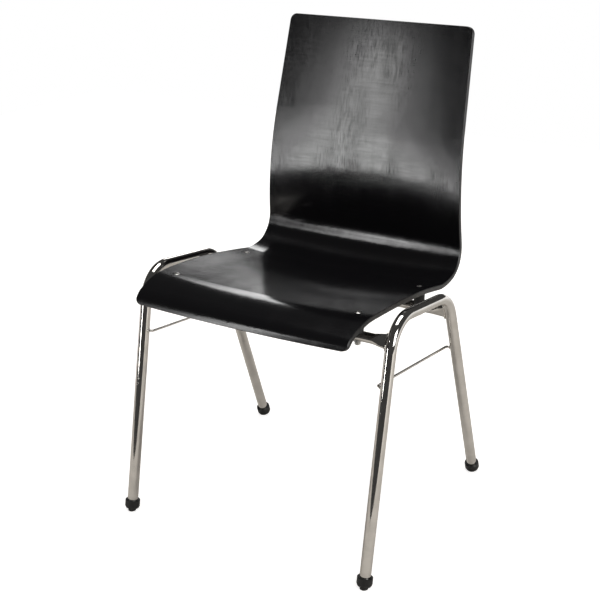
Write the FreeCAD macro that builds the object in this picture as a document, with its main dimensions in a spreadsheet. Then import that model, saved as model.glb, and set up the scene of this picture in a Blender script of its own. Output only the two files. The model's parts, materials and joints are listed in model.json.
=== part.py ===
import FreeCAD, Part
import math
import os
import re
import Sketcher
from FreeCAD import Placement, Rotation, Vector

# Choir chair: a moulded plywood shell on a welded frame of bent tube.
# Millimetres, +Z up, origin on the floor under the middle of the whole chair.
# The sitter faces -Y, so the sitter's left hand is at +X.

doc = FreeCAD.newDocument("choir_chair")
sheet = doc.addObject("Spreadsheet::Sheet", "sizes")
workings = doc.addObject("Spreadsheet::Sheet", "workings")

driving_sizes = [
    # Side frames: one bent tube each, front leg, top run and rear leg in one plane
    ("frame_half", 250.0),
    ("tube_diameter", 20.0),
    ("tube_wall", 2.0),
    ("front_foot", 248.5),
    ("front_lean", 10.47),
    ("rear_foot", 228.3),
    ("rear_lean", 21.5),
    ("top_run_height", 457.2),
    ("top_run_slope", 7.6),
    ("front_bend_radius", 56.5),
    ("rear_bend_radius", 75.0),
    ("tube_lift", 9.0),
    # Cross tubes: round in the middle, pressed flat where they meet the legs
    ("cross_diameter", 18.0),
    ("cross_wall", 1.5),
    ("front_cross_inset", 5.5),
    ("front_cross_height", 424.8),
    ("rear_cross_inset", 1.5),
    ("rear_cross_height", 398.0),
    ("flat_length", 25.0),
    ("flat_height", 28.8),
    ("flat_thickness", 6.4),
    ("flat_bite", 5.0),
    ("front_flat_lean", 20.0),
    ("rear_flat_lean", -23.0),
    ("weld_gap", 0.1),
    # Side rods: thin wire between the legs, inboard of the side frame
    ("rod_diameter", 4.6),
    ("rod_stand_off", 7.5),
    ("rod_front_height", 350.5),
    ("rod_rear_height", 315.2),
    ("rod_bend_radius", 6.5),
    # Shell: side profile at the edges, walked from the front tip to the top
    ("shell_thickness", 9.5),
    ("shell_stock_half", 218.0),
    ("edge_tip_setback", 253.95),
    ("edge_tip_height", 433.0),
    ("edge_tip_angle", 72.95),
    ("edge_lip_radius", 35.0),
    ("edge_lip_turn", 49.62),
    ("edge_waterfall_radius", 160.0),
    ("edge_waterfall_turn", 25.34),
    ("edge_seat_radius", 1500.0),
    ("edge_seat_turn", 10.27),
    ("edge_entry_radius", 127.5),
    ("edge_entry_turn", 26.01),
    ("edge_bend_radius", 46.7),
    ("edge_bend_turn", 83.52),
    ("edge_lumbar_radius", 573.0),
    ("edge_lumbar_turn", 21.2),
    ("edge_top_length", 188.46),
    # Shell: the same walk along the middle, where seat and bend are dished
    ("mid_tip_setback", 254.35),
    ("mid_tip_height", 428.6),
    ("mid_tip_angle", 74.5),
    ("mid_lip_radius", 38.3),
    ("mid_lip_turn", 55.62),
    ("mid_waterfall_radius", 150.2),
    ("mid_waterfall_turn", 24.67),
    ("mid_seat_radius", 2509.9),
    ("mid_seat_turn", 6.14),
    ("mid_entry_radius", 139.5),
    ("mid_entry_turn", 25.7),
    ("mid_bend_radius", 59.4),
    ("mid_bend_turn", 85.77),
    ("mid_lumbar_radius", 581.9),
    ("mid_lumbar_turn", 22.83),
    ("mid_top_length", 164.87),
    # Shell: outline seen from above, walked from the front corner to the back
    ("front_half", 210.8),
    ("front_bow_angle", 4.25),
    ("side_bow_angle", 3.0),
    ("side_bow_radius", 2300.0),
    ("side_return_radius", 500.0),
    # Shell: the back narrows upwards
    ("back_half", 214.0),
    ("back_half_height", 431.0),
    ("back_taper", 2.79),
    ("back_cut_start", 110.0),
    ("back_cut_base", 100.0),
    ("back_cut_length", 1000.0),
    ("front_corner_radius", 12.0),
    ("top_corner_radius", 14.0),
    ("edge_bevel", 1.1),
    # Fasteners
    ("front_screw_half", 185.0),
    ("rear_screw_half", 188.0),
    ("screw_diameter", 6.0),
    ("hole_clearance", 0.25),
    ("head_diameter", 12.6),
    ("head_rise", 2.5),
    ("head_rim", 0.7),
    ("socket_across_flats", 4.0),
    ("socket_depth", 1.9),
    ("head_sink", 1.3),
    ("head_clearance", 0.3),
    ("spacer_diameter", 20.0),
    ("spacer_clearance", 0.5),
    ("saddle_clearance", 0.1),
    ("washer_diameter", 14.0),
    ("washer_web", 1.5),
    ("washer_cup", 2.5),
    ("nut_across_flats", 10.0),
    ("nut_height", 5.0),
    ("thread_clearance", 0.05),
    ("screw_stand_out", 1.5),
    # Glides: a cup pushed over the leg end, with a hard tread under it
    ("cup_diameter", 28.0),
    ("cup_bottom", 4.0),
    ("cup_top", 22.0),
    ("cup_lip", 0.8),
    ("cup_corner", 5.5),
    ("cup_bore_clearance", 0.15),
    ("spigot_clearance", 0.2),
    ("spigot_top", 32.0),
    ("tread_diameter", 15.0),
    ("tread_recess", 2.0),
    ("tread_clearance", 0.1),
]

cells = []


def add_cell(alias, value):
    cells.append(alias)
    row = len(cells)
    sheet.set(f"A{row}", alias)
    sheet.set(f"B{row}", f"{value:.6g}")
    sheet.setAlias(f"B{row}", alias)


for alias, value in driving_sizes:
    add_cell(alias, value)
doc.recompute()


def on_sheet(expression, unit="mm"):
    # An expression on the sheet's cells, as another object writes it
    named = re.sub(r"\b(" + "|".join(cells) + r")\b", r"sizes.\1", expression)
    return f"({named}) * 1 {unit}"


def size(expression):
    # What such an expression is worth now
    workings.set("A1", "=" + on_sheet(expression))
    workings.recompute()
    return float(workings.get("A1").Value)


def tangent(degrees):
    return math.tan(math.radians(degrees))


# Bodies, planes and sketches


def new_body(label):
    body = doc.addObject("PartDesign::Body", label)
    body.Label = label
    return body


def add_feature(body, kind, name):
    return body.newObject(f"PartDesign::{kind}", f"{body.Label}_{name}")


def origin_plane(body, role):
    return next(item for item in body.Origin.OriginFeatures if item.Role == role)


def new_sketch(body, name, role, place=("0", "0", "0"), tilt="0"):
    # A tilt leans the sketch back about its own first axis
    sketch = body.newObject("Sketcher::SketchObject", f"{body.Label}_{name}")
    sketch.AttachmentSupport = [(origin_plane(body, role), "")]
    sketch.MapMode = "FlatFace"
    base = Vector(*(size(expression) for expression in place))
    sketch.AttachmentOffset = Placement(base, Rotation(Vector(-1, 0, 0), size(tilt)))
    for letter, expression in zip("xyz", place):
        if expression != "0":
            sketch.setExpression(f"AttachmentOffset.Base.{letter}", on_sheet(expression))
    if tilt != "0":
        sketch.setExpression("AttachmentOffset.Rotation.Angle", on_sheet(tilt, "deg"))
    return sketch


def hold(sketch, kind, *parts):
    return sketch.addConstraint(Sketcher.Constraint(kind, *parts))


def hold_size(sketch, kind, name, expression, *parts):
    # A dimension that the sheet drives
    angle = kind == "Angle"
    value = math.radians(size(expression)) if angle else size(expression)
    index = hold(sketch, kind, *parts, value)
    sketch.renameConstraint(index, name)
    sketch.setExpression(f"Constraints.{name}", on_sheet(expression, "deg" if angle else "mm"))


def hold_point(sketch, name, geometry, point, across, up):
    hold_size(sketch, "DistanceX", f"{name}_across", across, -1, 1, geometry, point)
    hold_size(sketch, "DistanceY", f"{name}_up", up, -1, 1, geometry, point)


def add_line(sketch, start, end, construction=False):
    return sketch.addGeometry(Part.LineSegment(start, end), construction)


def add_circle(sketch, name, radius, across="0", up="0"):
    centre = Vector(size(across), size(up), 0)
    circle = sketch.addGeometry(Part.Circle(centre, Vector(0, 0, 1), size(radius)), False)
    hold_size(sketch, "Radius", f"{name}_radius", radius, circle)
    if (across, up) == ("0", "0"):
        hold(sketch, "Coincident", circle, 3, -1, 1)
    else:
        hold_point(sketch, name, circle, 3, across, up)


def add_outline(sketch, corners):
    # A closed outline of straight sides, each corner tied to the sheet
    places = [Vector(size(across), size(up), 0) for across, up in corners]
    lines = [add_line(sketch, *ends) for ends in zip(places, places[1:] + places[:1])]
    for first, second in zip(lines, lines[1:] + lines[:1]):
        hold(sketch, "Coincident", first, 2, second, 1)
    for number, (line, (across, up)) in enumerate(zip(lines, corners)):
        hold_point(sketch, f"corner{number}", line, 1, across, up)


def add_hexagon(sketch, across_flats):
    # A regular hexagon on a guide circle, two of its sides level
    guide_radius = f"{across_flats} / 2 / cos(30 deg)"
    corner_radius = size(guide_radius)
    corners = []
    for sixth in range(6):
        angle = math.radians(60 * sixth)
        corners.append(Vector(math.cos(angle), math.sin(angle), 0) * corner_radius)
    sides = [add_line(sketch, *ends) for ends in zip(corners, corners[1:] + corners[:1])]
    guide = sketch.addGeometry(Part.Circle(Vector(), Vector(0, 0, 1), corner_radius), True)
    hold(sketch, "Coincident", guide, 3, -1, 1)
    hold_size(sketch, "Radius", "guide", guide_radius, guide)
    for first, second in zip(sides, sides[1:] + sides[:1]):
        hold(sketch, "Coincident", first, 2, second, 1)
        hold(sketch, "PointOnObject", first, 1, guide)
    for line in sides[1:]:
        hold(sketch, "Equal", sides[0], line)
    hold(sketch, "Horizontal", sides[1])


class Walk:
    """A run of lines and tangent arcs, walked from a start point and heading."""

    def __init__(self, sketch, start, heading, shift=0.0):
        self.sketch = sketch
        self.heading = math.radians(heading)
        self.shift = shift
        self.start = Vector(*start, 0) + self.left() * shift
        self.place = self.start
        self.items = []

    def left(self):
        return Vector(-math.sin(self.heading), math.cos(self.heading), 0)

    def ahead(self):
        return Vector(math.cos(self.heading), math.sin(self.heading), 0)

    def line(self, length):
        end = self.place + self.ahead() * length
        index = add_line(self.sketch, self.place, end)
        self.place = end
        self.items.append((index, 1, 2))
        return index

    def arc(self, radius, turn):
        # A positive turn goes left; a shifted walk keeps the same centres
        side = 1 if turn > 0 else -1
        own_radius = radius - side * self.shift
        centre = self.place + self.left() * (side * own_radius)
        start = self.heading - side * math.pi / 2
        self.heading += math.radians(turn)
        end = self.heading - side * math.pi / 2
        low, high = (start, end) if side > 0 else (end, start)
        circle = Part.Circle(centre, Vector(0, 0, 1), own_radius)
        index = self.sketch.addGeometry(Part.ArcOfCircle(circle, low, high), False)
        self.place = centre + Vector(math.cos(end), math.sin(end), 0) * own_radius
        self.items.append((index, 1, 2) if side > 0 else (index, 2, 1))
        return index

    def join(self):
        for (first, _, end), (second, start, _) in zip(self.items, self.items[1:]):
            hold(self.sketch, "Tangent", first, end, second, start)

    def edges(self):
        return [f"Edge{number + 1}" for number in range(len(self.items))]


def add_pocket(body, name, sketch, length, reverse=False, midplane=False):
    pocket = add_feature(body, "Pocket", name)
    pocket.Profile = sketch
    pocket.Type = "Length"
    pocket.Length = length
    pocket.Midplane = midplane
    pocket.Reversed = reverse
    return pocket


def mirror(body, name, features):
    mirrored = add_feature(body, "Mirrored", name)
    mirrored.Originals = features
    mirrored.MirrorPlane = (origin_plane(body, "YZ_Plane"), [""])
    body.Tip = mirrored
    doc.recompute()
    return mirrored


# Places that several pieces share

tube_radius = "tube_diameter / 2"
cross_radius = "cross_diameter / 2"
screw_hole_radius = "screw_diameter / 2 + hole_clearance"
front_foot_place = "tube_lift * tan(front_lean * 1 deg) - front_foot"
rear_foot_place = "rear_foot - tube_lift * tan(rear_lean * 1 deg)"
rod_front_place = "rod_front_height * tan(front_lean * 1 deg) - front_foot"
rod_rear_place = "rear_foot - rod_rear_height * tan(rear_lean * 1 deg)"
cross_line = {
    "front": "front_cross_height * tan(front_lean * 1 deg) - front_foot + front_cross_inset",
    "rear": "rear_foot - rear_cross_height * tan(rear_lean * 1 deg) - rear_cross_inset",
}
through = 2400.0


# Side frames


def hoop_path(body, side):
    path = new_sketch(body, "hoop_path", "YZ_Plane", ("0", "0", f"{side} * frame_half"))
    front_lean, rear_lean, slope = size("front_lean"), size("rear_lean"), size("top_run_slope")
    front_foot, rear_foot = size("front_foot"), size("rear_foot")
    lift, run_height = size("tube_lift"), size("top_run_height")

    # The three centre lines meet at two corners, which the bends then round
    front_turn = 90 - front_lean + slope
    rear_turn = 90 - rear_lean - slope
    front_reach = size("front_bend_radius") * tangent(front_turn / 2)
    rear_reach = size("rear_bend_radius") * tangent(rear_turn / 2)
    front_corner_height = run_height + front_reach * math.sin(math.radians(slope))
    front_corner = (front_corner_height * tangent(front_lean) - front_foot, front_corner_height)
    drop = (front_corner[0] - rear_foot) * tangent(slope)
    rear_corner_height = (front_corner_height + drop) / (1 - tangent(rear_lean) * tangent(slope))
    rear_corner = (rear_foot - rear_corner_height * tangent(rear_lean), rear_corner_height)
    start = (size(front_foot_place), lift)
    finish = (size(rear_foot_place), lift)

    walk = Walk(path, start, 90 - front_lean)
    front_leg = walk.line(math.dist(start, front_corner) - front_reach)
    front_bend = walk.arc(size("front_bend_radius"), -front_turn)
    top_run = walk.line(math.dist(front_corner, rear_corner) - front_reach - rear_reach)
    rear_bend = walk.arc(size("rear_bend_radius"), -rear_turn)
    rear_leg = walk.line(math.dist(finish, rear_corner) - rear_reach)
    walk.join()
    hold_point(path, "front_foot", front_leg, 1, front_foot_place, "tube_lift")
    hold_point(path, "rear_foot", rear_leg, 2, rear_foot_place, "tube_lift")
    hold_size(path, "DistanceY", "run_height", "top_run_height", -1, 1, top_run, 1)
    hold_size(path, "Angle", "front_angle", "90 - front_lean", front_leg)
    hold_size(path, "Angle", "run_angle", "-top_run_slope", top_run)
    hold_size(path, "Angle", "rear_angle", "rear_lean - 90", rear_leg)
    hold_size(path, "Radius", "front_bend", "front_bend_radius", front_bend)
    hold_size(path, "Radius", "rear_bend", "rear_bend_radius", rear_bend)
    return path, walk.edges()


def hoop_section(body, side):
    # The tube's section stands square to the front leg at its lower end
    place = (f"{side} * frame_half", front_foot_place, "tube_lift")
    return new_sketch(body, "hoop_section", "XY_Plane", place, "front_lean")


def side_frame(label, side):
    body = new_body(label)
    section = hoop_section(body, side)
    add_circle(section, "outside", tube_radius)
    add_circle(section, "inside", f"{tube_radius} - tube_wall")
    tube = add_feature(body, "AdditivePipe", "tube")
    tube.Profile = section
    tube.Spine = hoop_path(body, side)


# Cross tubes: round tube with both ends pressed flat and coped to the side frames


def round_section(body, row, place):
    # Four quarter arcs, so that it pairs with the four sides of the flat section
    sketch = new_sketch(body, "round_end", "YZ_Plane", ("0", "0", place))
    radius, lean = size(cross_radius), size(f"{row}_flat_lean")
    centre = Vector(size(cross_line[row]), size(f"{row}_cross_height"), 0)
    angle = math.radians(-45 - lean)
    start = centre + Vector(math.cos(angle), math.sin(angle), 0) * radius
    walk = Walk(sketch, (start.x, start.y), 45 - lean)
    arcs = [walk.arc(radius, 90) for quarter in range(4)]
    for first, second in zip(arcs, arcs[1:] + arcs[:1]):
        hold(sketch, "Coincident", first, 2, second, 1)
    for arc in arcs[:3]:
        hold(sketch, "Angle", arc, math.pi / 2)
    hold(sketch, "Coincident", arcs[0], 3, arcs[1], 3)
    hold(sketch, "Coincident", arcs[0], 3, arcs[2], 3)
    hold(sketch, "Equal", arcs[0], arcs[3])
    spoke = add_line(sketch, centre, start, True)
    hold(sketch, "Coincident", spoke, 1, arcs[0], 3)
    hold(sketch, "Coincident", spoke, 2, arcs[0], 1)
    hold_size(sketch, "Angle", "start", f"-45 - {row}_flat_lean", spoke)
    hold_size(sketch, "Radius", "outside", cross_radius, arcs[0])
    hold_point(sketch, "centre", arcs[0], 3, cross_line[row], f"{row}_cross_height")
    return sketch


def flat_section(body, row, place):
    sketch = new_sketch(body, "flat_end", "YZ_Plane", ("0", "0", place))
    half_height, half_thickness = size("flat_height / 2"), size("flat_thickness / 2")
    lean, straight = size(f"{row}_flat_lean"), half_height - half_thickness
    centre = Vector(size(cross_line[row]), size(f"{row}_cross_height"), 0)
    heading = math.radians(90 - lean)
    along = Vector(math.cos(heading), math.sin(heading), 0)
    out = Vector(math.sin(heading), -math.cos(heading), 0)
    start = centre + out * half_thickness - along * straight
    walk = Walk(sketch, (start.x, start.y), 90 - lean)
    rear_side = walk.line(2 * straight)
    top = walk.arc(half_thickness, 180)
    front_side = walk.line(2 * straight)
    bottom = walk.arc(half_thickness, 180)
    walk.join()
    hold(sketch, "Tangent", bottom, 2, rear_side, 1)
    hold(sketch, "Equal", top, bottom)
    hold_size(sketch, "Angle", "lean", f"90 - {row}_flat_lean", rear_side)
    hold_size(sketch, "Radius", "end", "flat_thickness / 2", top)
    hold_size(sketch, "Distance", "side", "flat_height - flat_thickness", rear_side)
    middle = sketch.addGeometry(Part.Point(centre), True)
    hold(sketch, "Symmetric", top, 3, bottom, 3, middle, 1)
    hold_point(sketch, "centre", middle, 1, cross_line[row], f"{row}_cross_height")
    return sketch


def cross_tube(row):
    body = new_body(f"{row}_cross_tube")
    round_end = f"frame_half - {tube_radius} - flat_length"
    ring = new_sketch(body, "ring", "YZ_Plane")
    add_circle(ring, "outside", cross_radius, cross_line[row], f"{row}_cross_height")
    add_circle(ring, "inside", f"{cross_radius} - cross_wall", cross_line[row], f"{row}_cross_height")
    barrel = add_feature(body, "Pad", "barrel")
    barrel.Profile = ring
    barrel.Midplane = True
    barrel.setExpression("Length", on_sheet(f"2 * ({round_end})"))
    doc.recompute()

    pressed = add_feature(body, "AdditiveLoft", "pressed_end")
    pressed.Profile = round_section(body, row, round_end)
    pressed.Sections = [flat_section(body, row, "frame_half - flat_bite")]
    doc.recompute()

    # The end is cut to the side frame's own tube, a weld gap away from it
    section = hoop_section(body, 1)
    add_circle(section, "cope", f"{tube_radius} + weld_gap")
    cope = add_feature(body, "SubtractivePipe", "cope")
    cope.Profile = section
    cope.Spine = hoop_path(body, 1)
    doc.recompute()
    mirror(body, "other_end", [pressed, cope])

    holes = new_sketch(body, "screw_holes", "XY_Plane")
    for side, word in ((1, "left"), (-1, "right")):
        add_circle(holes, word, screw_hole_radius, f"{side} * {row}_screw_half", cross_line[row])
    add_pocket(body, "screw_hole_cut", holes, through, midplane=True)


# Side rods: a wire bracket between the legs of each side frame


def side_rod(label, side):
    body = new_body(label)
    depth = f"(({rod_rear_place}) - ({rod_front_place}))"
    drop = "(rod_front_height - rod_rear_height)"
    fall = f"atan({drop} / {depth}) / 1 deg"
    path = new_sketch(body, "path", "XY_Plane", ("0", rod_front_place, "rod_front_height"), fall)
    reach = f"{side} * (frame_half - {tube_radius} - weld_gap)"
    inner = f"{side} * (frame_half - {tube_radius} - rod_stand_off)"
    run = f"sqrt({depth} ^ 2 + {drop} ^ 2)"
    radius = size("rod_bend_radius")
    stub = abs(size(reach)) - abs(size(inner)) - radius
    walk = Walk(path, (size(reach), 0), 180 if side > 0 else 0)
    front_stub = walk.line(stub)
    front_bend = walk.arc(radius, -90 * side)
    rod = walk.line(size(run) - 2 * radius)
    rear_bend = walk.arc(radius, -90 * side)
    rear_stub = walk.line(stub)
    walk.join()
    hold_point(path, "front", front_stub, 1, reach, "0")
    hold_point(path, "rear", rear_stub, 2, reach, run)
    hold(path, "Horizontal", front_stub)
    hold(path, "Vertical", rod)
    hold_size(path, "Radius", "front_bend", "rod_bend_radius", front_bend)
    hold_size(path, "Radius", "rear_bend", "rod_bend_radius", rear_bend)
    hold_size(path, "DistanceX", "inboard", inner, -1, 1, rod, 1)

    section = new_sketch(body, "section", "YZ_Plane", ("0", "0", reach))
    add_circle(section, "wire", "rod_diameter / 2", rod_front_place, "rod_front_height")
    bent = add_feature(body, "AdditivePipe", "wire")
    bent.Profile = section
    bent.Spine = (path, walk.edges())


# Seat shell: one moulding, lofted from edge to middle to edge, then cut to its outline


def shell_profile(body, name, zone, side):
    # Upper face and underside share their centres, so the thickness is even
    sketch = new_sketch(body, name, "YZ_Plane", ("0", "0", f"{side} * shell_stock_half"))
    tip = (-size(f"{zone}_tip_setback"), size(f"{zone}_tip_height"))
    bends = [
        ("lip", -1),
        ("waterfall", -1),
        ("seat", -1),
        ("entry", 1),
        ("bend", 1),
        ("lumbar", -1),
    ]
    walks = []
    for shift in (0.0, -size("shell_thickness")):
        walk = Walk(sketch, tip, size(f"{zone}_tip_angle"), shift)
        for bend, turn_side in bends:
            walk.arc(size(f"{zone}_{bend}_radius"), turn_side * size(f"{zone}_{bend}_turn"))
        walk.line(size(f"{zone}_top_length"))
        walk.join()
        walks.append(walk)
    upper, under = walks
    for (bend, _), (arc, _, _), (under_arc, _, _) in zip(bends, upper.items, under.items):
        hold_size(sketch, "Radius", f"{bend}_radius", f"{zone}_{bend}_radius", arc)
        hold_size(sketch, "Angle", f"{bend}_turn", f"{zone}_{bend}_turn", arc)
        hold(sketch, "Coincident", arc, 3, under_arc, 3)
    top_line, under_line = upper.items[-1][0], under.items[-1][0]
    hold_size(sketch, "Distance", "top_length", f"{zone}_top_length", top_line)
    hold(sketch, "Parallel", top_line, under_line)

    # The two end faces stand square to the moulding
    (first, first_start, _), (under_first, under_start, _) = upper.items[0], under.items[0]
    tip_end = add_line(sketch, under.start, upper.start)
    top_end = add_line(sketch, upper.place, under.place)
    hold(sketch, "Coincident", tip_end, 1, under_first, under_start)
    hold(sketch, "Coincident", tip_end, 2, first, first_start)
    hold(sketch, "PointOnObject", first, 3, tip_end)
    hold(sketch, "Coincident", top_end, 1, top_line, 2)
    hold(sketch, "Coincident", top_end, 2, under_line, 2)
    hold(sketch, "Perpendicular", top_end, top_line)
    hold_size(sketch, "Distance", "thickness", "shell_thickness", tip_end)
    hold_size(sketch, "Angle", "tip_angle", f"{zone}_tip_angle + 90", tip_end)
    hold_point(sketch, "tip", first, first_start, f"-{zone}_tip_setback", f"{zone}_tip_height")
    return sketch


def close_waste(sketch, walk, across):
    # Three straight sides, well outside the shell, close the waste beside an outline
    corners = [walk.place, Vector(across, walk.place.y, 0), Vector(across, walk.start.y, 0), walk.start]
    lines = [add_line(sketch, *ends) for ends in zip(corners, corners[1:])]
    (first, first_start, _), (last, _, last_end) = walk.items[0], walk.items[-1]
    hold(sketch, "Coincident", last, last_end, lines[0], 1)
    hold(sketch, "Coincident", lines[0], 2, lines[1], 1)
    hold(sketch, "Coincident", lines[1], 2, lines[2], 1)
    hold(sketch, "Coincident", lines[2], 2, first, first_start)
    for line, direction in zip(lines, ("Horizontal", "Vertical", "Horizontal")):
        hold(sketch, direction, line)
    hold_size(sketch, "DistanceX", "waste", "2 * shell_stock_half", -1, 1, lines[1], 1)


def side_outline(body):
    # Seen from above: a slight bow, then a return to straight beside the back
    sketch = new_sketch(body, "side_outline", "XY_Plane")
    front = "-mid_tip_setback - shell_thickness"
    walk = Walk(sketch, (size("front_half"), size(front)), size("90 - front_bow_angle"))
    bowed = walk.arc(size("side_bow_radius"), size("front_bow_angle + side_bow_angle"))
    back_turn = walk.arc(size("side_return_radius"), -size("side_bow_angle"))
    straight = walk.line(size("shell_stock_half"))
    walk.join()
    hold_point(sketch, "front", bowed, 1, "front_half", front)
    hold_size(sketch, "Angle", "bow_turn", "front_bow_angle + side_bow_angle", bowed)
    hold_size(sketch, "Angle", "return_turn", "side_bow_angle", back_turn)
    hold_size(sketch, "Radius", "bow", "side_bow_radius", bowed)
    hold_size(sketch, "Radius", "return", "side_return_radius", back_turn)
    hold(sketch, "Vertical", straight)
    hold_size(sketch, "Distance", "straight", "shell_stock_half", straight)
    close_waste(sketch, walk, size("2 * shell_stock_half"))
    return sketch


def back_outline(body):
    # Seen from the front: the back narrows upwards
    sketch = new_sketch(body, "back_outline", "XZ_Plane", ("0", "0", "-back_cut_start"))
    base = "back_half + (back_half_height - back_cut_base) * tan(back_taper * 1 deg)"
    walk = Walk(sketch, (size(base), size("back_cut_base")), size("90 + back_taper"))
    line = walk.line(size("back_cut_length"))
    hold_point(sketch, "base", line, 1, base, "back_cut_base")
    hold_size(sketch, "Angle", "taper", "90 + back_taper", line)
    hold_size(sketch, "Distance", "length", "back_cut_length", line)
    close_waste(sketch, walk, size("2 * shell_stock_half"))
    return sketch


def edges_through(shape, wanted):
    # Names of the short edges that cross the thickness in one region
    names = []
    thickness = size("shell_thickness")
    for number, edge in enumerate(shape.Edges, start=1):
        if 0.7 * thickness < edge.Length < 1.3 * thickness and wanted(edge.CenterOfMass):
            names.append(f"Edge{number}")
    return names


def is_broad(face):
    # A narrow face is about as wide as the ply is thick
    border = sum(edge.Length for edge in face.OuterWire.Edges)
    return face.Area > 1.5 * size("shell_thickness") * border / 2


def face_borders(shape):
    # Names of the edges between the broad faces and the narrow ones round the outline
    broad = [edge for face in shape.Faces if is_broad(face) for edge in face.Edges]
    narrow = [edge for face in shape.Faces if not is_broad(face) for edge in face.Edges]
    names = []
    for number, edge in enumerate(shape.Edges, start=1):
        if any(map(edge.isSame, broad)) and any(map(edge.isSame, narrow)):
            names.append(f"Edge{number}")
    return names


def add_fillet(body, name, base, edges, radius):
    fillet = add_feature(body, "Fillet", name)
    fillet.Base = (base, edges)
    fillet.setExpression("Radius", on_sheet(radius))
    doc.recompute()
    return fillet


def heights_at(shape, across, back):
    # Underside and upper face of the seat on one upright line
    line = Part.makeLine(Vector(across, back, 0), Vector(across, back, through))
    places = sorted(vertex.Z for vertex in shape.common(line).Vertexes)
    return places[0], places[1]


def seat_shell():
    body = new_body("seat_shell")
    profiles = [
        shell_profile(body, "profile_right", "edge", -1),
        shell_profile(body, "profile_middle", "mid", 0),
        shell_profile(body, "profile_left", "edge", 1),
    ]
    moulding = add_feature(body, "AdditiveLoft", "moulding")
    moulding.Profile = profiles[0]
    moulding.Sections = profiles[1:]
    doc.recompute()
    side_cut = add_pocket(body, "side_cut", side_outline(body), through, midplane=True)
    back_cut = add_pocket(body, "back_cut", back_outline(body), through)
    doc.recompute()
    cut = mirror(body, "other_side", [side_cut, back_cut])
    moulded = cut.Shape.copy()

    # Corners are rounded first, then every edge along the ply
    corner_side, corner_height = size("front_half / 2"), size("edge_tip_height + shell_thickness")
    back_middle = size("(back_half_height + back_cut_length) / 2")
    low = edges_through(cut.Shape, lambda at: abs(at.x) > corner_side and at.z < corner_height)
    front_corners = add_fillet(body, "front_corners", cut, low, "front_corner_radius")
    high = edges_through(
        front_corners.Shape, lambda at: abs(at.x) > corner_side and at.z > back_middle
    )
    top_corners = add_fillet(body, "top_corners", front_corners, high, "top_corner_radius")
    bevel = add_feature(body, "Chamfer", "ply_edges")
    bevel.Base = (top_corners, face_borders(top_corners.Shape))
    bevel.setExpression("Size", on_sheet("edge_bevel"))
    doc.recompute()

    # Screw holes, each with a shallow seat for the head
    for row, line in cross_line.items():
        under, upper = heights_at(moulded, size(f"{row}_screw_half"), size(line))
        add_cell(f"{row}_underside", under)
        add_cell(f"{row}_head_seat", upper - size("head_sink"))
        doc.recompute()
        holes = new_sketch(body, f"{row}_holes", "XY_Plane")
        seats = new_sketch(body, f"{row}_seats", "XY_Plane", ("0", "0", f"{row}_head_seat"))
        for side, word in ((1, "left"), (-1, "right")):
            place = (f"{side} * {row}_screw_half", line)
            add_circle(holes, word, screw_hole_radius, *place)
            add_circle(seats, word, "head_diameter / 2 + head_clearance", *place)
        add_pocket(body, f"{row}_hole_cut", holes, through, midplane=True)
        add_pocket(body, f"{row}_seat_cut", seats, size("2 * shell_thickness"), reverse=True)
    doc.recompute()
    form = doc.addObject("Part::Feature", "moulded_form")
    form.Shape = moulded
    return form


# Spacers: round blocks with a saddle for the cross tube, cut to the shell's underside


def cylinder(label, radius, height, place, turned=False):
    item = doc.addObject("Part::Cylinder", label)
    item.setExpression("Radius", on_sheet(radius))
    item.setExpression("Height", on_sheet(height))
    item.Placement = Placement(Vector(), Rotation(Vector(0, 1, 0), 90 if turned else 0))
    for letter, expression in zip("xyz", place):
        item.setExpression(f"Placement.Base.{letter}", on_sheet(expression))
    return item


def spacer(label, row, side, form):
    across, back, height = f"{side} * {row}_screw_half", cross_line[row], f"{row}_cross_height"
    tall = f"{row}_underside + shell_thickness / 2 - {height}"
    saddle_start = f"{across} - spacer_diameter"
    axis = (across, back, height)
    stock = cylinder(f"{label}_stock", "spacer_diameter / 2", tall, axis)
    bore = cylinder(f"{label}_bore", "screw_diameter / 2 + spacer_clearance", f"2 * ({tall})", axis)
    saddle = cylinder(
        f"{label}_saddle",
        f"{cross_radius} + saddle_clearance",
        "2 * spacer_diameter",
        (saddle_start, back, height),
        turned=True,
    )
    waste = doc.addObject("Part::MultiFuse", f"{label}_waste")
    waste.Shapes = [bore, saddle, form]
    item = doc.addObject("Part::Cut", label)
    item.Base = stock
    item.Tool = waste
    item.Label = label


# Screws, washers and nuts hang on one upright line through each spacer


def place_body(body, across, back, height, lean="0"):
    # A lean tips the body's own axis towards the back
    base = Vector(size(across), size(back), size(height))
    body.Placement = Placement(base, Rotation(Vector(-1, 0, 0), size(lean)))
    for letter, expression in zip("xyz", (across, back, height)):
        body.setExpression(f"Placement.Base.{letter}", on_sheet(expression))
    if lean != "0":
        body.setExpression("Placement.Rotation.Angle", on_sheet(lean, "deg"))


def revolve(body, name, sketch):
    turned = add_feature(body, "Revolution", name)
    turned.Profile = sketch
    turned.ReferenceAxis = (sketch, ["V_Axis"])
    turned.Angle = 360


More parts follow.
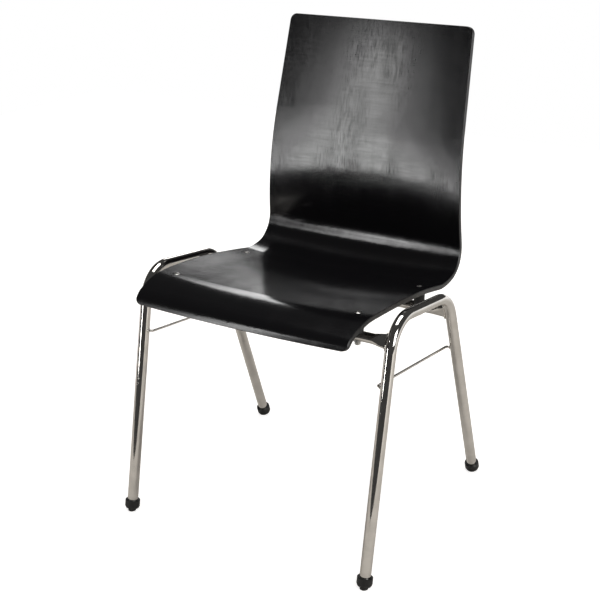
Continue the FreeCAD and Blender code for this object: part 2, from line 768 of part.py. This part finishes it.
def seat_screw(label, row, side):
    body = new_body(label)
    below = f"{row}_cross_height - {cross_radius} - washer_web - nut_height - screw_stand_out"
    length = f"{row}_head_seat - ({below})"
    sketch = new_sketch(body, "profile", "XZ_Plane")
    rise, rim, head = size("head_rise"), size("head_rim"), size("head_diameter / 2")
    shank, long = size("screw_diameter / 2"), size(length)
    crown_radius = (head**2 + (rise - rim) ** 2) / (2 * (rise - rim))
    centre = Vector(0, rise - crown_radius, 0)
    low = math.atan2(rim - centre.y, head)
    crown_circle = Part.Circle(centre, Vector(0, 0, 1), crown_radius)
    crown = sketch.addGeometry(Part.ArcOfCircle(crown_circle, low, math.pi / 2), False)
    corners = [(head, rim), (head, 0), (shank, 0), (shank, -long), (0, -long), (0, rise)]
    places = [Vector(*corner, 0) for corner in corners]
    lines = [add_line(sketch, *ends) for ends in zip(places, places[1:])]
    hold(sketch, "Coincident", crown, 1, lines[0], 1)
    for first, second in zip(lines, lines[1:]):
        hold(sketch, "Coincident", first, 2, second, 1)
    hold(sketch, "Coincident", lines[-1], 2, crown, 2)
    hold(sketch, "PointOnObject", crown, 3, lines[-1])
    across_up = [
        ("head_diameter / 2", "head_rim"),
        ("head_diameter / 2", "0"),
        ("screw_diameter / 2", "0"),
        ("screw_diameter / 2", f"-({length})"),
        ("0", f"-({length})"),
    ]
    for number, (line, (across, up)) in enumerate(zip(lines, across_up)):
        hold_point(sketch, f"corner{number}", line, 1, across, up)
    hold_size(sketch, "DistanceY", "crown", "head_rise", -1, 1, lines[-1], 2)
    hold(sketch, "Vertical", lines[-1])
    revolve(body, "turned", sketch)
    socket = new_sketch(body, "socket", "XY_Plane", ("0", "0", "head_rise - socket_depth"))
    add_hexagon(socket, "socket_across_flats")
    add_pocket(body, "socket_cut", socket, size("2 * socket_depth"), reverse=True)
    place_body(body, f"{side} * {row}_screw_half", cross_line[row], f"{row}_head_seat")


def saddle_washer(label, row, side):
    body = new_body(label)
    disc = new_sketch(body, "disc", "XY_Plane", ("0", "0", f"-{cross_radius} - washer_web"))
    add_circle(disc, "outside", "washer_diameter / 2")
    add_circle(disc, "hole", screw_hole_radius)
    pad = add_feature(body, "Pad", "blank")
    pad.Profile = disc
    pad.setExpression("Length", on_sheet("washer_web + washer_cup"))
    saddle = new_sketch(body, "saddle", "YZ_Plane")
    add_circle(saddle, "tube", f"{cross_radius} + saddle_clearance")
    add_pocket(body, "saddle_cut", saddle, size("2 * washer_diameter"), midplane=True)
    place_body(body, f"{side} * {row}_screw_half", cross_line[row], f"{row}_cross_height")


def hex_nut(label, row, side):
    body = new_body(label)
    height = f"-{cross_radius} - washer_web - nut_height"
    sketch = new_sketch(body, "hexagon", "XY_Plane", ("0", "0", height))
    add_hexagon(sketch, "nut_across_flats")
    add_circle(sketch, "bore", "screw_diameter / 2 + thread_clearance")
    pad = add_feature(body, "Pad", "blank")
    pad.Profile = sketch
    pad.setExpression("Length", on_sheet("nut_height"))
    place_body(body, f"{side} * {row}_screw_half", cross_line[row], f"{row}_cross_height")


# Glides: a cup pushed over each leg end and a hard tread under it


def place_glide(body, row, side):
    foot = "-front_foot" if row == "front" else "rear_foot"
    lean = "front_lean" if row == "front" else "-rear_lean"
    place_body(body, f"{side} * frame_half", foot, "0", lean)


def glide_cup(label, row, side):
    body = new_body(label)
    sketch = new_sketch(body, "profile", "XZ_Plane")
    outer, corner, half_corner = "cup_diameter / 2", "cup_corner", "cup_corner * (1 - cos(45 deg))"
    recess = "tread_diameter / 2 + tread_clearance"
    recess_top = "cup_bottom + tread_recess"
    socket = f"tube_lift / cos({row}_lean * 1 deg) - weld_gap"
    bore = f"{tube_radius} + cup_bore_clearance"
    spigot = f"{tube_radius} - tube_wall - spigot_clearance"
    add_outline(
        sketch,
        [
            ("0", recess_top),
            (recess, recess_top),
            (recess, "cup_bottom"),
            (f"{outer} - {corner}", "cup_bottom"),
            (f"{outer} - {half_corner}", f"cup_bottom + {half_corner}"),
            (outer, f"cup_bottom + {corner}"),
            (outer, "cup_top - cup_lip"),
            (f"{outer} - cup_lip", "cup_top"),
            (bore, "cup_top"),
            (bore, socket),
            (spigot, socket),
            (spigot, "spigot_top"),
            ("0", "spigot_top"),
        ],
    )
    revolve(body, "turned", sketch)
    place_glide(body, row, side)


def glide_tread(label, row, side):
    body = new_body(label)
    sketch = new_sketch(body, "profile", "XZ_Plane")
    radius, top = "tread_diameter / 2", "cup_bottom + tread_recess - tread_clearance"
    add_outline(sketch, [("0", "-cup_bottom"), (radius, "-cup_bottom"), (radius, top), ("0", top)])
    revolve(body, "turned", sketch)

    # The floor, seen in the leaning body, trims the tread to its resting face
    floor = new_sketch(body, "floor", "YZ_Plane")
    slope = f"tan({row}_lean * 1 deg)" if row == "front" else f"-tan({row}_lean * 1 deg)"
    wide, deep = "tread_diameter", "-2 * tread_diameter"
    add_outline(
        floor,
        [
            (f"-{wide}", f"-{wide} * {slope}"),
            (f"-{wide}", deep),
            (wide, deep),
            (wide, f"{wide} * {slope}"),
        ],
    )
    add_pocket(body, "floor_cut", floor, size("2 * tread_diameter"), midplane=True)
    place_glide(body, row, side)


# The whole chair

sides = (("left", 1), ("right", -1))
labels = []


def make(builder, label, *arguments):
    labels.append(label)
    builder(label, *arguments)


moulded_form = seat_shell()
labels.append("seat_shell")
for row in cross_line:
    cross_tube(row)
    labels.append(f"{row}_cross_tube")
for word, side in sides:
    make(side_frame, f"side_frame_{word}", side)
    make(side_rod, f"side_rod_{word}", side)
    for row in cross_line:
        make(spacer, f"spacer_{row}_{word}", row, side, moulded_form)
        make(seat_screw, f"seat_screw_{row}_{word}", row, side)
        make(saddle_washer, f"saddle_washer_{row}_{word}", row, side)
        make(hex_nut, f"nut_{row}_{word}", row, side)
        make(glide_cup, f"glide_cup_{row}_{word}", row, side)
        make(glide_tread, f"glide_tread_{row}_{word}", row, side)
doc.removeObject("workings")
doc.recompute()

for item in doc.Objects:
    if "Invalid" in item.State or "Error" in item.State:
        raise SystemExit(f"{item.Label} did not compute: {item.State}")
pieces = {label: doc.getObjectsByLabel(label)[0].Shape for label in labels}
for label, shape in pieces.items():
    if shape.isNull() or not shape.isValid() or len(shape.Solids) != 1:
        raise SystemExit(f"{label} is not one sound solid")

os.makedirs("parts", exist_ok=True)
for label, shape in pieces.items():
    shape.exportStep(f"parts/{label}.step")
    print(f"{label}: {shape.Volume / 1000:.2f} cm3")
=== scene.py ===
import json
import math

import bpy
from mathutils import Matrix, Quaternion, Vector


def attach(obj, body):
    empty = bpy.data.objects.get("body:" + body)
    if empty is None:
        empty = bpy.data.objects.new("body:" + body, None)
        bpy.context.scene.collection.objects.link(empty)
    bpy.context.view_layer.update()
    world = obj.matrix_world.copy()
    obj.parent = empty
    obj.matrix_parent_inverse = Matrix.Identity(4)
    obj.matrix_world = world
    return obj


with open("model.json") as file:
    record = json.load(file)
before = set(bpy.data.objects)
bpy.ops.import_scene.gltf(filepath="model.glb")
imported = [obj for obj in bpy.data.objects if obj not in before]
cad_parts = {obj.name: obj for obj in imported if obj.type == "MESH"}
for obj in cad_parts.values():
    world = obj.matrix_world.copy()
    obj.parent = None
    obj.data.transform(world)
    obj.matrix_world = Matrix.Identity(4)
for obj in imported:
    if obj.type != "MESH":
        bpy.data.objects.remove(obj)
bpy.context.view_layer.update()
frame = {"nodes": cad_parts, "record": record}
bpy.ops.object.select_all(action="DESELECT")
nodes = frame["nodes"]
print("frame loaded:", len(nodes), "nodes")


# Camera, in front of the chair on its left, and above it

cameraLook = {
    "place": (1.00701, -1.74377, 1.17495),
    "looksAlong": (-0.4746, 0.8029, -0.3606),
    "lens": 69.6,
    "sensor": 36.0,
    "clipEnd": 50.0,
}


def addCamera(look):
    data = bpy.data.cameras.new("choirCamera")
    data.lens = look["lens"]
    data.sensor_width = look["sensor"]
    data.sensor_fit = "HORIZONTAL"
    data.clip_end = look["clipEnd"]
    camera = bpy.data.objects.new("choirCamera", data)
    bpy.context.scene.collection.objects.link(camera)
    camera.location = look["place"]
    camera.rotation_euler = Vector(look["looksAlong"]).to_track_quat("-Z", "Y").to_euler()
    bpy.context.scene.camera = camera


addCamera(cameraLook)


# Node helpers

def newMaterial(name):
    material = bpy.data.materials.new(name)
    material.use_nodes = True
    tree = material.node_tree
    tree.nodes.clear()
    output = tree.nodes.new("ShaderNodeOutputMaterial")
    shader = tree.nodes.new("ShaderNodeBsdfPrincipled")
    tree.links.new(shader.outputs["BSDF"], output.inputs["Surface"])
    return material, tree, shader


def feed(tree, source, target):
    # A number or a colour is set on the socket, anything else is linked to it
    if isinstance(source, (int, float, tuple)):
        target.default_value = source
    else:
        tree.links.new(source, target)


def doMath(tree, operation, first, second=0.0):
    node = tree.nodes.new("ShaderNodeMath")
    node.operation = operation
    feed(tree, first, node.inputs[0])
    feed(tree, second, node.inputs[1])
    return node.outputs[0]


def remap(tree, value, low, high, newLow=0.0, newHigh=1.0):
    node = tree.nodes.new("ShaderNodeMapRange")
    node.clamp = True
    node.interpolation_type = "SMOOTHSTEP"
    for place, item in enumerate((value, low, high, newLow, newHigh)):
        feed(tree, item, node.inputs[place])
    return node.outputs["Result"]


def mixColours(tree, factor, first, second):
    node = tree.nodes.new("ShaderNodeMix")
    node.data_type = "RGBA"
    feed(tree, factor, node.inputs["Factor"])
    feed(tree, first, node.inputs[6])
    feed(tree, second, node.inputs[7])
    return node.outputs[2]


def objectPlace(tree, stretch=(1.0, 1.0, 1.0)):
    # Object coordinates, stretched for a pattern with a direction
    coordinates = tree.nodes.new("ShaderNodeTexCoord")
    mapping = tree.nodes.new("ShaderNodeMapping")
    mapping.inputs["Scale"].default_value = stretch
    tree.links.new(coordinates.outputs["Object"], mapping.inputs["Vector"])
    return mapping.outputs["Vector"]


def splitVector(tree, vector):
    node = tree.nodes.new("ShaderNodeSeparateXYZ")
    tree.links.new(vector, node.inputs[0])
    return node.outputs


def addBump(tree, shader, height, distance):
    bump = tree.nodes.new("ShaderNodeBump")
    bump.inputs["Distance"].default_value = distance
    feed(tree, height, bump.inputs["Height"])
    tree.links.new(bump.outputs["Normal"], shader.inputs["Normal"])


# Effects that several finishes share, each built once as a group

def newGroup(name, inputs, outputs):
    group = bpy.data.node_groups.new(name, "ShaderNodeTree")
    for label, kind, value in inputs:
        socket = group.interface.new_socket(name=label, in_out="INPUT", socket_type=kind)
        if value is not None:
            socket.default_value = value
    for label in outputs:
        group.interface.new_socket(name=label, in_out="OUTPUT", socket_type="NodeSocketFloat")
    given = group.nodes.new("NodeGroupInput").outputs
    result = group.nodes.new("NodeGroupOutput").inputs
    return group, given, result


def makeSpeckleGroup():
    # Noise cut to a mask between two levels, and the noise itself
    group, given, result = newGroup("speckle", (
        ("Vector", "NodeSocketVector", None),
        ("Scale", "NodeSocketFloat", 100.0),
        ("Detail", "NodeSocketFloat", 2.0),
        ("Low", "NodeSocketFloat", 0.35),
        ("High", "NodeSocketFloat", 0.65),
    ), ("Mask", "Noise"))
    noise = group.nodes.new("ShaderNodeTexNoise")
    for label in ("Vector", "Scale", "Detail"):
        group.links.new(given[label], noise.inputs[label])
    mask = remap(group, noise.outputs["Fac"], given["Low"], given["High"])
    group.links.new(mask, result["Mask"])
    group.links.new(noise.outputs["Fac"], result["Noise"])
    return group


dustLook = {
    "colour": (0.20, 0.19, 0.18, 1.0),
    "dulling": 0.35,
    "patches": (0.4, 0.7),
    "grains": (0.45, 0.75),
    "facingUp": (0.3, 0.95),
}


def makeDustGroup(look):
    # Fine dust that settles in patches on what faces up
    group, given, result = newGroup("settledDust", (
        ("Vector", "NodeSocketVector", None),
        ("Normal", "NodeSocketVector", None),
        ("Amount", "NodeSocketFloat", 0.3),
        ("Patch Scale", "NodeSocketFloat", 14.0),
        ("Grain Scale", "NodeSocketFloat", 900.0),
    ), ("Mask",))
    masks = []
    for label, levels in (("Patch Scale", look["patches"]), ("Grain Scale", look["grains"])):
        noise = group.nodes.new("ShaderNodeTexNoise")
        group.links.new(given["Vector"], noise.inputs["Vector"])
        group.links.new(given[label], noise.inputs["Scale"])
        masks.append(remap(group, noise.outputs["Fac"], *levels))
    upward = remap(group, splitVector(group, given["Normal"])["Z"], *look["facingUp"])
    cover = doMath(group, "MULTIPLY", doMath(group, "MULTIPLY", masks[0], masks[1]), upward)
    group.links.new(doMath(group, "MULTIPLY", cover, given["Amount"]), result["Mask"])
    return group


speckleGroup = makeSpeckleGroup()
dustGroup = makeDustGroup(dustLook)


def placeGroup(tree, group, **values):
    node = tree.nodes.new("ShaderNodeGroup")
    node.node_tree = group
    for label, value in values.items():
        feed(tree, value, node.inputs[label])
    return node.outputs


def speckle(tree, scale, detail=2.0, low=0.35, high=0.65, stretch=(1.0, 1.0, 1.0)):
    return placeGroup(
        tree, speckleGroup,
        Vector=objectPlace(tree, stretch), Scale=scale, Detail=detail, Low=low, High=high,
    )


def addDust(tree, colour, roughness, amount):
    # Dust greys the colour a little and dulls the gloss under it
    coordinates = tree.nodes.new("ShaderNodeTexCoord").outputs
    mask = placeGroup(
        tree, dustGroup,
        Vector=coordinates["Object"], Normal=coordinates["Normal"], Amount=amount,
    )["Mask"]
    colour = mixColours(tree, mask, colour, dustLook["colour"])
    dulled = doMath(tree, "MULTIPLY", mask, dustLook["dulling"])
    return colour, doMath(tree, "ADD", roughness, dulled)


# Stained ply under satin lacquer: open pores along the grain, veneers at the cut edges

plyLook = {
    "stain": (0.0038, 0.0036, 0.0042, 1.0),
    "pore": (0.0020, 0.0020, 0.0021, 1.0),
    "edge": (0.020, 0.019, 0.018, 1.0),
    "glue": (0.008, 0.0075, 0.0075, 1.0),
    "roughness": (0.13, 0.18),
    "poreDull": 0.11,
    "seatPores": 0.25,
    "edgeDull": 0.25,
    "depth": 0.000002,
    "rubbedDepth": 0.10,
    "dust": 0.01,
    "sideNormal": (0.45, 0.75),
    "topHeight": (0.874, 0.878),
    "topNormal": (0.5, 0.8),
    "lipHeight": (0.402, 0.397),
    "lipNormal": (-0.6, -0.85),
    "seatToBack": (0.45, 0.60),
    "pores": {"scale": 900.0, "detail": 1.0, "low": 0.46, "high": 0.66, "stretch": (1.0, 0.05, 0.05)},
    "clouds": {"scale": 11.0, "detail": 2.0, "low": 0.34, "high": 0.62, "stretch": (1.0, 0.35, 0.35)},
    "figure": {"scale": 30.0, "detail": 3.0, "low": 0.3, "high": 0.7, "stretch": (1.0, 0.12, 0.12)},
    "rubbing": {"scale": 620.0, "detail": 1.0, "low": 0.3, "high": 0.7, "stretch": (0.03, 1.0, 1.0)},
    "veneers": {"scale": 700.0, "detail": 1.0, "low": 0.35, "high": 0.65, "stretch": (1.0, 0.12, 0.12)},
}


def makePly(look):
    material, tree, shader = newMaterial("stainedPly")
    coordinates = tree.nodes.new("ShaderNodeTexCoord").outputs
    normal = splitVector(tree, coordinates["Normal"])
    place = splitVector(tree, coordinates["Object"])

    # The cut edges: both sides, the top and the front lip
    side = remap(tree, doMath(tree, "ABSOLUTE", normal["X"]), *look["sideNormal"])
    topZone = remap(tree, place["Z"], *look["topHeight"])
    top = doMath(tree, "MULTIPLY", topZone, remap(tree, normal["Z"], *look["topNormal"]))
    lipZone = remap(tree, place["Z"], *look["lipHeight"])
    lip = doMath(tree, "MULTIPLY", lipZone, remap(tree, normal["Z"], *look["lipNormal"]))
    edge = doMath(tree, "MAXIMUM", doMath(tree, "MAXIMUM", side, top), lip)

    # Pores come in clouds, fewer on the seat, which is worn smoother than the back
    pores = speckle(tree, **look["pores"])["Mask"]
    pores = doMath(tree, "MULTIPLY", pores, speckle(tree, **look["clouds"])["Mask"])
    openness = remap(tree, place["Z"], *look["seatToBack"], look["seatPores"], 1.0)
    pores = doMath(tree, "MULTIPLY", pores, openness)
    figure = speckle(tree, **look["figure"])["Mask"]
    rubbing = speckle(tree, **look["rubbing"])["Mask"]
    veneers = speckle(tree, **look["veneers"])["Mask"]

    face = mixColours(tree, pores, look["stain"], look["pore"])
    cut = mixColours(tree, veneers, look["glue"], look["edge"])
    blend = doMath(tree, "MULTIPLY", doMath(tree, "ADD", figure, rubbing), 0.5)
    rough = remap(tree, blend, 0.0, 1.0, *look["roughness"])
    rough = doMath(tree, "ADD", rough, doMath(tree, "MULTIPLY", pores, look["poreDull"]))
    rough = doMath(tree, "ADD", rough, doMath(tree, "MULTIPLY", edge, look["edgeDull"]))
    colour, rough = addDust(tree, mixColours(tree, edge, face, cut), rough, look["dust"])
    feed(tree, colour, shader.inputs["Base Color"])
    feed(tree, rough, shader.inputs["Roughness"])
    rubbed = doMath(tree, "MULTIPLY", rubbing, look["rubbedDepth"])
    height = doMath(tree, "SUBTRACT", rubbed, pores)
    addBump(tree, shader, height, look["depth"])
    return material


# The levels between which a finish's noise runs from smooth to rough

noiseLevels = (0.3, 0.7)


# Chrome plate, warm and nearly mirror bright

chromeLook = {
    "bright": (0.80, 0.77, 0.73, 1.0),
    "bloom": (0.72, 0.69, 0.65, 1.0),
    "roughness": (0.045, 0.10),
    "ripple": 0.000012,
    "clouds": {"scale": 45.0, "detail": 3.0},
    "ripples": {"scale": 150.0, "detail": 1.0},
    "dust": 0.08,
}


def makeChrome(look):
    material, tree, shader = newMaterial("chromePlate")
    cloud = speckle(tree, **look["clouds"])
    rough = remap(tree, cloud["Noise"], *noiseLevels, *look["roughness"])
    plate = mixColours(tree, cloud["Mask"], look["bright"], look["bloom"])
    colour, rough = addDust(tree, plate, rough, look["dust"])
    feed(tree, colour, shader.inputs["Base Color"])
    feed(tree, rough, shader.inputs["Roughness"])
    shader.inputs["Metallic"].default_value = 1.0
    addBump(tree, shader, speckle(tree, **look["ripples"])["Noise"], look["ripple"])
    return material


# The small parts: moulded plastic and zinc-plated steel

grainDetail = 3.0
smallLooks = {
    "spacer_plastic": {
        "name": "spacerPlastic", "metal": 0.0, "roughness": (0.38, 0.52),
        "grain": 520.0, "depth": 0.00005, "dust": 0.04,
        "dark": (0.004, 0.004, 0.004, 1.0), "light": (0.009, 0.009, 0.009, 1.0),
    },
    "glide_plastic": {
        "name": "glidePlastic", "metal": 0.0, "roughness": (0.34, 0.48),
        "grain": 420.0, "depth": 0.00004, "dust": 0.04,
        "dark": (0.004, 0.004, 0.004, 1.0), "light": (0.009, 0.009, 0.009, 1.0),
    },
    "tread_plastic": {
        "name": "treadPlastic", "metal": 0.0, "roughness": (0.55, 0.75),
        "grain": 700.0, "depth": 0.00010, "dust": 0.0,
        "dark": (0.010, 0.010, 0.010, 1.0), "light": (0.034, 0.032, 0.030, 1.0),
    },
    "screw_steel": {
        "name": "screwSteel", "metal": 1.0, "roughness": (0.18, 0.32),
        "grain": 380.0, "depth": 0.00002, "dust": 0.20,
        "dark": (0.42, 0.41, 0.40, 1.0), "light": (0.64, 0.62, 0.59, 1.0),
    },
    "washer_steel": {
        "name": "washerSteel", "metal": 1.0, "roughness": (0.26, 0.40),
        "grain": 340.0, "depth": 0.00003, "dust": 0.10,
        "dark": (0.42, 0.42, 0.42, 1.0), "light": (0.60, 0.60, 0.58, 1.0),
    },
    "nut_steel": {
        "name": "nutSteel", "metal": 1.0, "roughness": (0.24, 0.38),
        "grain": 400.0, "depth": 0.00003, "dust": 0.10,
        "dark": (0.40, 0.40, 0.38, 1.0), "light": (0.60, 0.59, 0.55, 1.0),
    },
}


def makeSmall(look):
    material, tree, shader = newMaterial(look["name"])
    grain = speckle(tree, look["grain"], grainDetail)
    rough = remap(tree, grain["Noise"], *noiseLevels, *look["roughness"])
    skin = mixColours(tree, grain["Mask"], look["dark"], look["light"])
    colour, rough = addDust(tree, skin, rough, look["dust"])
    feed(tree, colour, shader.inputs["Base Color"])
    feed(tree, rough, shader.inputs["Roughness"])
    shader.inputs["Metallic"].default_value = look["metal"]
    addBump(tree, shader, grain["Noise"], look["depth"])
    return material


finishes = {"shell_ply": makePly(plyLook), "frame_chrome": makeChrome(chromeLook)}
for slot, look in smallLooks.items():
    finishes[slot] = makeSmall(look)
for item in frame["record"]["subparts"]:
    mesh = nodes[item["node"]].data
    mesh.materials.clear()
    mesh.materials.append(finishes[item["material_slot"]])
print("finishes placed:", len(finishes))


# Weld beads, plated over with the frame: round the cross tubes' flat ends and the rods' ends

beadLook = {
    "segments": 36,
    "ringSegments": 10,
    "swell": 0.00022,
    "drawSteps": ((5.0, 0.52), (15.0, 0.48)),
    "softening": 1,
    "reach": 0.2394,
    "places": {
        "front_cross": {
            "y": -0.1645, "z": 0.4248, "turn": 20.0,
            "halfLong": 0.0150, "halfFlat": 0.0038, "body": 0.0017,
        },
        "rear_cross": {
            "y": 0.0700, "z": 0.3980, "turn": -23.0,
            "halfLong": 0.0150, "halfFlat": 0.0038, "body": 0.0017,
        },
        "front_rod": {
            "y": -0.1837, "z": 0.3505, "turn": 0.0,
            "halfLong": 0.0029, "halfFlat": 0.0029, "body": 0.0012,
        },
        "rear_rod": {
            "y": 0.1041, "z": 0.3152, "turn": 0.0,
            "halfLong": 0.0029, "halfFlat": 0.0029, "body": 0.0012,
        },
    },
}


def selectVertices(bead, wanted):
    # Vertices are picked in object mode, and edit mode takes the selection up
    bpy.ops.object.mode_set(mode="EDIT")
    bpy.ops.mesh.select_mode(type="VERT")
    bpy.ops.mesh.select_all(action="DESELECT")
    bpy.ops.object.mode_set(mode="OBJECT")
    for vertex, chosen in zip(bead.data.vertices, wanted):
        vertex.select = chosen
    bpy.ops.object.mode_set(mode="EDIT")


def makeBead(name, place):
    # A ring drawn out to the outline of the end, with every second rib swollen like a run of weld
    bpy.ops.object.select_all(action="DESELECT")
    bpy.ops.mesh.primitive_torus_add(
        major_segments=beadLook["segments"], minor_segments=beadLook["ringSegments"],
        major_radius=place["halfFlat"], minor_radius=place["body"],
        location=(0, 0, 0), rotation=(0, math.radians(90), 0),
    )
    bead = bpy.context.object
    bead.name = name
    bpy.ops.object.transform_apply(location=True, rotation=True, scale=True)
    rim = [math.degrees(math.atan2(vertex.co.z, vertex.co.y)) for vertex in bead.data.vertices]
    stretch = place["halfLong"] - place["halfFlat"]
    if stretch > 0:
        # Each half is drawn out in two steps, so the ribs spread along the straight sides
        for least, share in beadLook["drawSteps"]:
            for side in (1.0, -1.0):
                selectVertices(bead, [least < side * angle < 180.0 - least for angle in rim])
                bpy.ops.transform.translate(value=(0, 0, side * stretch * share))
    rib = 360.0 / beadLook["segments"]
    selectVertices(bead, [round(angle / rib) % 2 == 0 for angle in rim])
    bpy.ops.transform.shrink_fatten(value=beadLook["swell"])
    bpy.ops.mesh.select_all(action="SELECT")
    bpy.ops.transform.rotate(
        value=math.radians(place["turn"]), orient_axis="X", center_override=(0, 0, 0),
    )
    bpy.ops.mesh.normals_make_consistent(inside=False)
    bpy.ops.object.mode_set(mode="OBJECT")
    soften = bead.modifiers.new("soften", "SUBSURF")
    soften.levels = beadLook["softening"]
    soften.render_levels = beadLook["softening"]
    bpy.ops.object.modifier_apply(modifier=soften.name)
    bpy.ops.object.shade_smooth()
    bead.data.materials.append(finishes["frame_chrome"])
    return bead


def placeBeads(word, place):
    first = makeBead("weld_bead_" + word + "_left", place)
    second = first.copy()
    second.data = first.data.copy()
    second.name = "weld_bead_" + word + "_right"
    bpy.context.scene.collection.objects.link(second)
    for bead, side in ((first, 1.0), (second, -1.0)):
        bead.location = (side * beadLook["reach"], place["y"], place["z"])
        bpy.ops.object.select_all(action="DESELECT")
        bead.select_set(True)
        bpy.context.view_layer.objects.active = bead
        bpy.ops.object.transform_apply(location=True, rotation=False, scale=False)
        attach(bead, "root")


for word, place in beadLook["places"].items():
    placeBeads(word, place)
print("weld beads placed")


# Studio: pale floor, white surround, and soft boxes on both sides of the chair and above it

studioLook = {
    "floor": (0.63, 0.60, 0.56, 1.0),
    "white": (1.0, 1.0, 1.0, 1.0),
    "dark": (0.05, 0.05, 0.05, 1.0),
    "ambient": (0.25, 0.25, 0.25, 1.0),
    "floorWidth": 6.0,
    "floorFront": -0.85,
    "floorBack": 3.0,
    "glowNear": 0.78,
    "glowFar": 1.0,
    "mirroredFar": 0.40,
    "glowReach": (0.5, 2.0),
    "mirrorReach": (0.8, 2.4),
    "floorRoughness": 0.9,
    "floorSpecular": 0.1,
    "bandBehind": (-0.1, 0.3),
    "bandHeight": (0.07, 0.02),
}


def addFloor(look):
    # The paper ends a step in front of the chair, and the legs mirror the dark beyond it
    depth = look["floorBack"] - look["floorFront"]
    middle = (look["floorBack"] + look["floorFront"]) / 2
    bpy.ops.mesh.primitive_plane_add(size=1.0, location=(0, middle, 0))
    floor = bpy.context.object
    floor.scale = (look["floorWidth"], depth, 1.0)
    bpy.ops.object.transform_apply(location=True, rotation=True, scale=True)
    floor.name = "paleFloor"
    material, tree, shader = newMaterial("paleFloor")
    shader.inputs["Base Color"].default_value = look["floor"]
    shader.inputs["Roughness"].default_value = look["floorRoughness"]
    shader.inputs["Specular IOR Level"].default_value = look["floorSpecular"]
    shader.inputs["Emission Strength"].default_value = 1.0
    # The camera sees the lit floor as white, and the shadow stays a little darker
    path = tree.nodes.new("ShaderNodeLightPath").outputs
    place = splitVector(tree, tree.nodes.new("ShaderNodeTexCoord").outputs["Object"])
    squares = [doMath(tree, "MULTIPLY", place[axis], place[axis]) for axis in ("X", "Y")]
    away = doMath(tree, "SQRT", doMath(tree, "ADD", *squares))
    glow = remap(tree, away, *look["glowReach"], look["glowNear"], look["glowFar"])
    shine = remap(tree, away, *look["mirrorReach"], 0.0, look["mirroredFar"])
    seen = doMath(tree, "MULTIPLY", path["Is Camera Ray"], glow)
    mirrored = doMath(tree, "MULTIPLY", path["Is Glossy Ray"], shine)
    feed(tree, doMath(tree, "ADD", seen, mirrored), shader.inputs["Emission Color"])
    floor.data.materials.append(material)


def addWorld(look):
    world = bpy.data.worlds.new("studioWorld")
    bpy.context.scene.world = world
    world.use_nodes = True
    tree = world.node_tree
    tree.nodes.clear()
    output = tree.nodes.new("ShaderNodeOutputWorld")
    background = tree.nodes.new("ShaderNodeBackground")
    place = splitVector(tree, tree.nodes.new("ShaderNodeTexCoord").outputs["Generated"])
    path = tree.nodes.new("ShaderNodeLightPath").outputs
    # Gloss sees a white band low behind the chair, and dark elsewhere
    behind = remap(tree, place["Y"], *look["bandBehind"])
    band = doMath(tree, "MULTIPLY", behind, remap(tree, place["Z"], *look["bandHeight"]))
    mirrored = mixColours(tree, band, look["dark"], look["white"])
    colour = mixColours(tree, path["Is Glossy Ray"], look["ambient"], mirrored)
    colour = mixColours(tree, path["Is Camera Ray"], colour, look["white"])
    tree.links.new(colour, background.inputs["Color"])
    background.inputs["Strength"].default_value = 1.0
    tree.links.new(background.outputs[0], output.inputs[0])


lampLooks = {
    "tallBox": {
        "place": (-1.197, -2.083, 1.15), "aim": (-0.107, 0.054, 1.15),
        "size": (0.20, 0.90), "power": 5.2,
    },
    "lowBox": {
        "place": (-1.166, -2.099, 0.37), "aim": (-0.076, 0.039, 0.37),
        "size": (0.15, 0.70), "power": 4.6,
    },
    "wideBox": {
        "place": (-1.544, -1.907, 1.00), "aim": (-0.454, 0.231, 1.00),
        "size": (0.55, 0.36), "power": 0.5,
    },
    "backBox": {
        "place": (-1.300, 2.018, 1.365), "aim": (-0.064, -0.039, 1.365),
        "size": (0.42, 0.85), "power": 4.6, "roll": -32.0,
    },
    "sideBox": {
        "place": (2.40, -1.00, 1.50), "aim": (0.0, 0.0, 0.45),
        "size": (1.00, 1.60), "power": 35.0,
    },
    "topBox": {
        "place": (0.0, 0.20, 2.60), "aim": (0.0, 0.0, 0.40),
        "size": (1.40, 1.40), "power": 28.0,
    },
}


def addSoftBox(name, look):
    data = bpy.data.lights.new(name, "AREA")
    data.shape = "RECTANGLE"
    data.size, data.size_y = look["size"]
    data.energy = look["power"]
    lamp = bpy.data.objects.new(name, data)
    bpy.context.scene.collection.objects.link(lamp)
    lamp.location = look["place"]
    turn = (Vector(look["aim"]) - Vector(look["place"])).to_track_quat("-Z", "Y")
    roll = Quaternion((0, 0, 1), math.radians(look.get("roll", 0.0)))
    lamp.rotation_euler = (turn @ roll).to_euler()
    lamp.visible_camera = False


addFloor(studioLook)
addWorld(studioLook)
for name, look in lampLooks.items():
    addSoftBox(name, look)
bpy.context.scene.view_settings.view_transform = "Standard"
print("studio ready")
